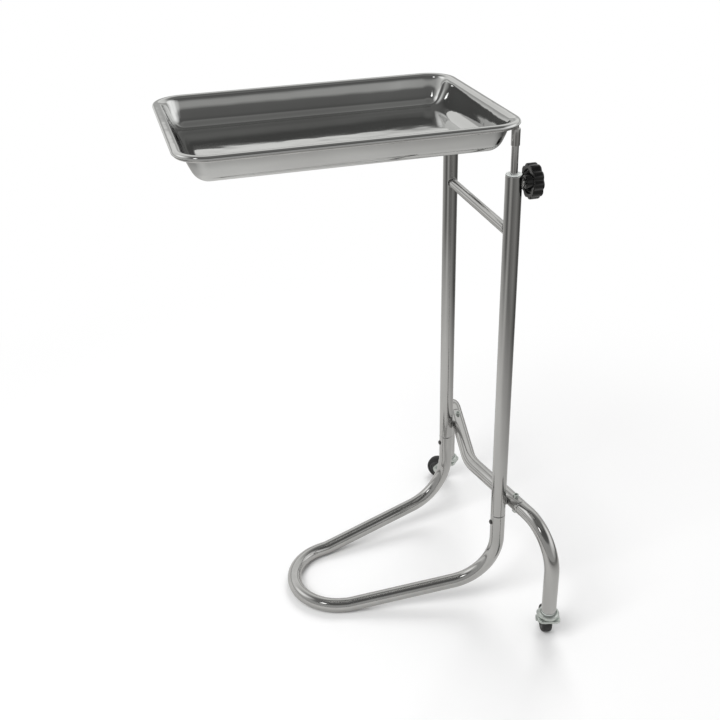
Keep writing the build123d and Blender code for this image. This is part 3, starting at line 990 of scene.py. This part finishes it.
def weld_beads():
    """Beads round the crossbar's ends, the bosses, the rear tube's joints and the stubs."""
    tree, sockets = bead_tree()
    turns = around(weld_sides)
    carrier_y = tray_rear_y - carrier_inset
    bar, boss, stub = crossbar_r + 0.2, boss_r + 0.2, carrier_r + 0.1
    stand_rings, rear_rings, lift_rings = [], [], []
    for sign in side_of.values():
        x = sign * post_half_gap
        stand_rings.append([
            at(sign * (post_half_gap - on_post(crossbar_r * math.cos(a))),
               bar * math.cos(a), crossbar_z + bar * math.sin(a))
            for a in turns
        ])
        stand_rings.append([
            at(x + boss * math.cos(a), on_post(boss_r * math.cos(a)), knob_z + boss * math.sin(a))
            for a in turns
        ])
        rear_rings.append([
            at(x + rear_weld_r * math.cos(a),
               tube_r - (rear_weld_r ** 2 * math.cos(2 * a)) / (4 * tube_r),
               rear_z + rear_weld_r * math.sin(a))
            for a in turns
        ])
        lift_rings.append([
            at(x + stub * math.cos(a), stub * math.sin(a),
               carrier_z - math.sqrt(max(stub ** 2 - (stub * math.sin(a) - carrier_y) ** 2, 0)))
            for a in turns
        ])
    weld("post_weld_beads", tree, sockets, stand_rings, 0.9, "stand")
    weld("rear_weld_beads", tree, sockets, rear_rings, 1.4, "stand")
    weld("carrier_weld_beads", tree, sockets, lift_rings, 0.7, "lift")


base_tube()
post_tubes()
rear_tubes()
pressed_tray()
carrier_frame()
sliding_rods()
clamp_knobs()
casters()
screws()
weld_beads()


# Camera, at the photograph's angle

camera_data = bpy.data.cameras.new("photo_camera")
camera_data.sensor_width = 36.0
camera_data.lens = 51.04
camera = new_object("photo_camera", camera_data)
bpy.context.scene.camera = camera
azimuth, pitch, roll = math.radians(75.285), math.radians(28.257), math.radians(-1.657)
ahead = Vector((
    -math.sin(azimuth) * math.cos(pitch), math.cos(azimuth) * math.cos(pitch), -math.sin(pitch)
))
level_right = Vector((math.cos(azimuth), math.sin(azimuth), 0))
level_up = level_right.cross(ahead)
right = level_right * math.cos(roll) + level_up * math.sin(roll)
up = level_up * math.cos(roll) - level_right * math.sin(roll)
turn = Matrix((right, up, -ahead)).transposed().to_4x4()
camera.matrix_world = Matrix.Translation(at(1452.36, -584.98, 1265.58)) @ turn


# Floor, backdrop and lights

# Grey of the mirrored room by share of its height, behind the stand and on the camera's side
backdrop_levels = (
    (0.0, 0.85), (0.20, 0.82), (0.27, 0.46), (0.405, 0.48), (0.43, 0.88),
    (0.70, 0.82), (0.82, 0.45), (0.91, 0.22), (1.0, 0.18),
)
camera_side_levels = (
    (0.0, 0.45), (0.56, 0.42), (0.63, 0.15), (0.88, 0.11), (0.94, 0.22), (1.0, 0.18),
)
# Heading, height and spread in degrees, and level, of the soft boxes that the metal mirrors
soft_boxes = ((75, 30, 20, 0.8), (245, 46, 14, 0.7), (42, 24, 16, 0.4), (-56, 50, 5, 5.0))
# Grey of the far floor by heading, as the share of a turn from behind the stand through -Y
floor_levels = (
    (0.06, 0.55), (0.19, 0.30), (0.27, 0.10), (0.36, 0.50),
    (0.44, 0.17), (0.60, 0.30), (0.74, 0.08), (0.95, 0.38),
)
# Metres: the dome's radius, the floor's half side, where the dome's two sides meet along X,
# and from where to where the floor fades to its far look
room_r = 5.0
floor_half = 4.9
dome_blend = (-2.4, 1.6)
floor_fade = (0.5, 1.4)


def mirror_only(card):
    """Seen by the metal alone, so that it never hides or lights the stand."""
    card.visible_camera = False
    card.visible_diffuse = False
    card.visible_shadow = False
    card.visible_transmission = False


def room_dome():
    """The room that the metal mirrors: pale behind the stand, dark round the camera, soft boxes."""
    mesh = bpy.data.meshes.new("room_dome")
    shell = bmesh.new()
    bmesh.ops.create_uvsphere(shell, u_segments=48, v_segments=24, radius=room_r)
    shell.to_mesh(mesh)
    shell.free()
    dome = new_object("room_dome", mesh)
    material = bpy.data.materials.new("room_dome")
    material.use_nodes = True
    tree = material.node_tree
    tree.nodes.clear()
    place = tree.nodes.new("ShaderNodeTexCoord")
    axes = tree.nodes.new("ShaderNodeSeparateXYZ")
    tree.links.new(place.outputs["Object"], axes.inputs["Vector"])
    height_share = remap(tree, axes.outputs["Z"], 0, 1, 0.0, room_r)
    sides = mix_node(tree)
    tree.links.new(remap(tree, axes.outputs["X"], 0, 1, *dome_blend), sides.inputs["Factor"])
    for socket, levels in (("A", backdrop_levels), ("B", camera_side_levels)):
        stops = [(share, (grey, grey, grey * 0.98)) for share, grey in levels]
        tree.links.new(ramp(tree, height_share, stops), sides.inputs[socket])
    total = sides.outputs["Result"]
    for heading, height, spread_angle, level in soft_boxes:
        heading, height = math.radians(heading), math.radians(height)
        aim = tree.nodes.new("ShaderNodeVectorMath")
        aim.operation = "DOT_PRODUCT"
        aim.inputs[1].default_value = (
            math.cos(heading) * math.cos(height) / room_r,
            math.sin(heading) * math.cos(height) / room_r,
            math.sin(height) / room_r,
        )
        tree.links.new(place.outputs["Object"], aim.inputs[0])
        near = math.cos(math.radians(spread_angle * 0.3))
        far = math.cos(math.radians(spread_angle * 1.4))
        spot = remap(tree, aim.outputs["Value"], 0, level, far, near)
        more = mix_node(tree, "ADD")
        more.inputs["Factor"].default_value = 1.0
        tree.links.new(total, more.inputs["A"])
        tree.links.new(spot, more.inputs["B"])
        total = more.outputs["Result"]
    glow = tree.nodes.new("ShaderNodeEmission")
    output = tree.nodes.new("ShaderNodeOutputMaterial")
    tree.links.new(total, glow.inputs["Color"])
    tree.links.new(glow.outputs["Emission"], output.inputs["Surface"])
    mesh.materials.append(material)
    mirror_only(dome)


def floor_paper():
    """Pale floor under the stand, which far away is white to the camera and dark in the metal."""
    mesh = bpy.data.meshes.new("floor")
    corners = [(x * floor_half, y * floor_half, 0) for x, y in ((-1, -1), (1, -1), (1, 1), (-1, 1))]
    mesh.from_pydata(corners, [], [(0, 1, 2, 3)])
    floor = new_object("floor", mesh)
    material, tree, shader = new_material("floor_paper")
    shader.inputs["Roughness"].default_value = 0.9
    shader.inputs["Specular IOR Level"].default_value = 0.0
    output = tree.nodes["Material Output"]
    place = tree.nodes.new("ShaderNodeTexCoord")
    shift = tree.nodes.new("ShaderNodeMapping")
    shift.inputs["Location"].default_value = (0, 0.1, 0)
    reach = tree.nodes.new("ShaderNodeVectorMath")
    reach.operation = "LENGTH"
    tree.links.new(place.outputs["Object"], shift.inputs["Vector"])
    tree.links.new(shift.outputs["Vector"], reach.inputs[0])
    path = tree.nodes.new("ShaderNodeLightPath")
    far_look = tree.nodes.new("ShaderNodeEmission")
    around = tree.nodes.new("ShaderNodeSeparateXYZ")
    tree.links.new(place.outputs["Object"], around.inputs["Vector"])
    heading = tree.nodes.new("ShaderNodeMath")
    heading.operation = "ARCTAN2"
    tree.links.new(around.outputs["Y"], heading.inputs[0])
    tree.links.new(around.outputs["X"], heading.inputs[1])
    turn_share = remap(tree, heading.outputs["Value"], 0, 1, -math.pi, math.pi)
    stops = [(share, (grey, grey * 0.99, grey * 0.96)) for share, grey in floor_levels]
    dim = ramp(tree, turn_share, stops)
    tint = mix_node(tree)
    tint.inputs["B"].default_value = (1, 1, 1, 1)
    tree.links.new(path.outputs["Is Camera Ray"], tint.inputs["Factor"])
    tree.links.new(dim, tint.inputs["A"])
    tree.links.new(tint.outputs["Result"], far_look.inputs["Color"])
    stops = [(0.0, (0.97, 0.97, 0.97)), (1.0, (0.70, 0.695, 0.68))]
    paper = ramp(tree, path.outputs["Is Glossy Ray"], stops)
    tree.links.new(paper, shader.inputs["Base Color"])
    fade = tree.nodes.new("ShaderNodeMixShader")
    tree.links.new(remap(tree, reach.outputs["Value"], 0, 1, *floor_fade), fade.inputs["Fac"])
    tree.links.new(shader.outputs["BSDF"], fade.inputs[1])
    tree.links.new(far_look.outputs["Emission"], fade.inputs[2])
    tree.links.new(fade.outputs["Shader"], output.inputs["Surface"])
    mesh.materials.append(material)


def white_world():
    """White background for the camera and the metal, a plain level for the rest."""
    world = bpy.data.worlds.new("studio")
    bpy.context.scene.world = world
    world.use_nodes = True
    tree = world.node_tree
    tree.nodes.clear()
    path = tree.nodes.new("ShaderNodeLightPath")
    seen = larger(tree, path.outputs["Is Camera Ray"], path.outputs["Is Glossy Ray"])
    seen = larger(tree, seen, path.outputs["Is Transmission Ray"])
    level = remap(tree, seen, 0.55, 1.0)
    sky = tree.nodes.new("ShaderNodeBackground")
    sky.inputs["Color"].default_value = (1, 1, 1, 1)
    tree.links.new(level, sky.inputs["Strength"])
    output = tree.nodes.new("ShaderNodeOutputWorld")
    tree.links.new(sky.outputs["Background"], output.inputs["Surface"])


def area_light(name, place, aim, size, watts):
    """A soft box that looks at a point."""
    data = bpy.data.lights.new(name, "AREA")
    data.shape = "SQUARE"
    data.size = size
    data.energy = watts
    lamp = new_object(name, data)
    lamp.visible_glossy = False
    toward = (Vector(aim) - Vector(place)).to_track_quat("-Z", "Y")
    lamp.matrix_world = Matrix.Translation(place) @ toward.to_matrix().to_4x4()


room_dome()
floor_paper()
white_world()
area_light("key_softbox", (1.2, -1.8, 2.6), (0, 0, 0.4), 1.6, 50)
area_light("rear_softbox", (-1.6, 1.0, 2.4), (0, 0, 0.4), 1.4, 28)

bpy.context.scene.view_settings.view_transform = "Standard"
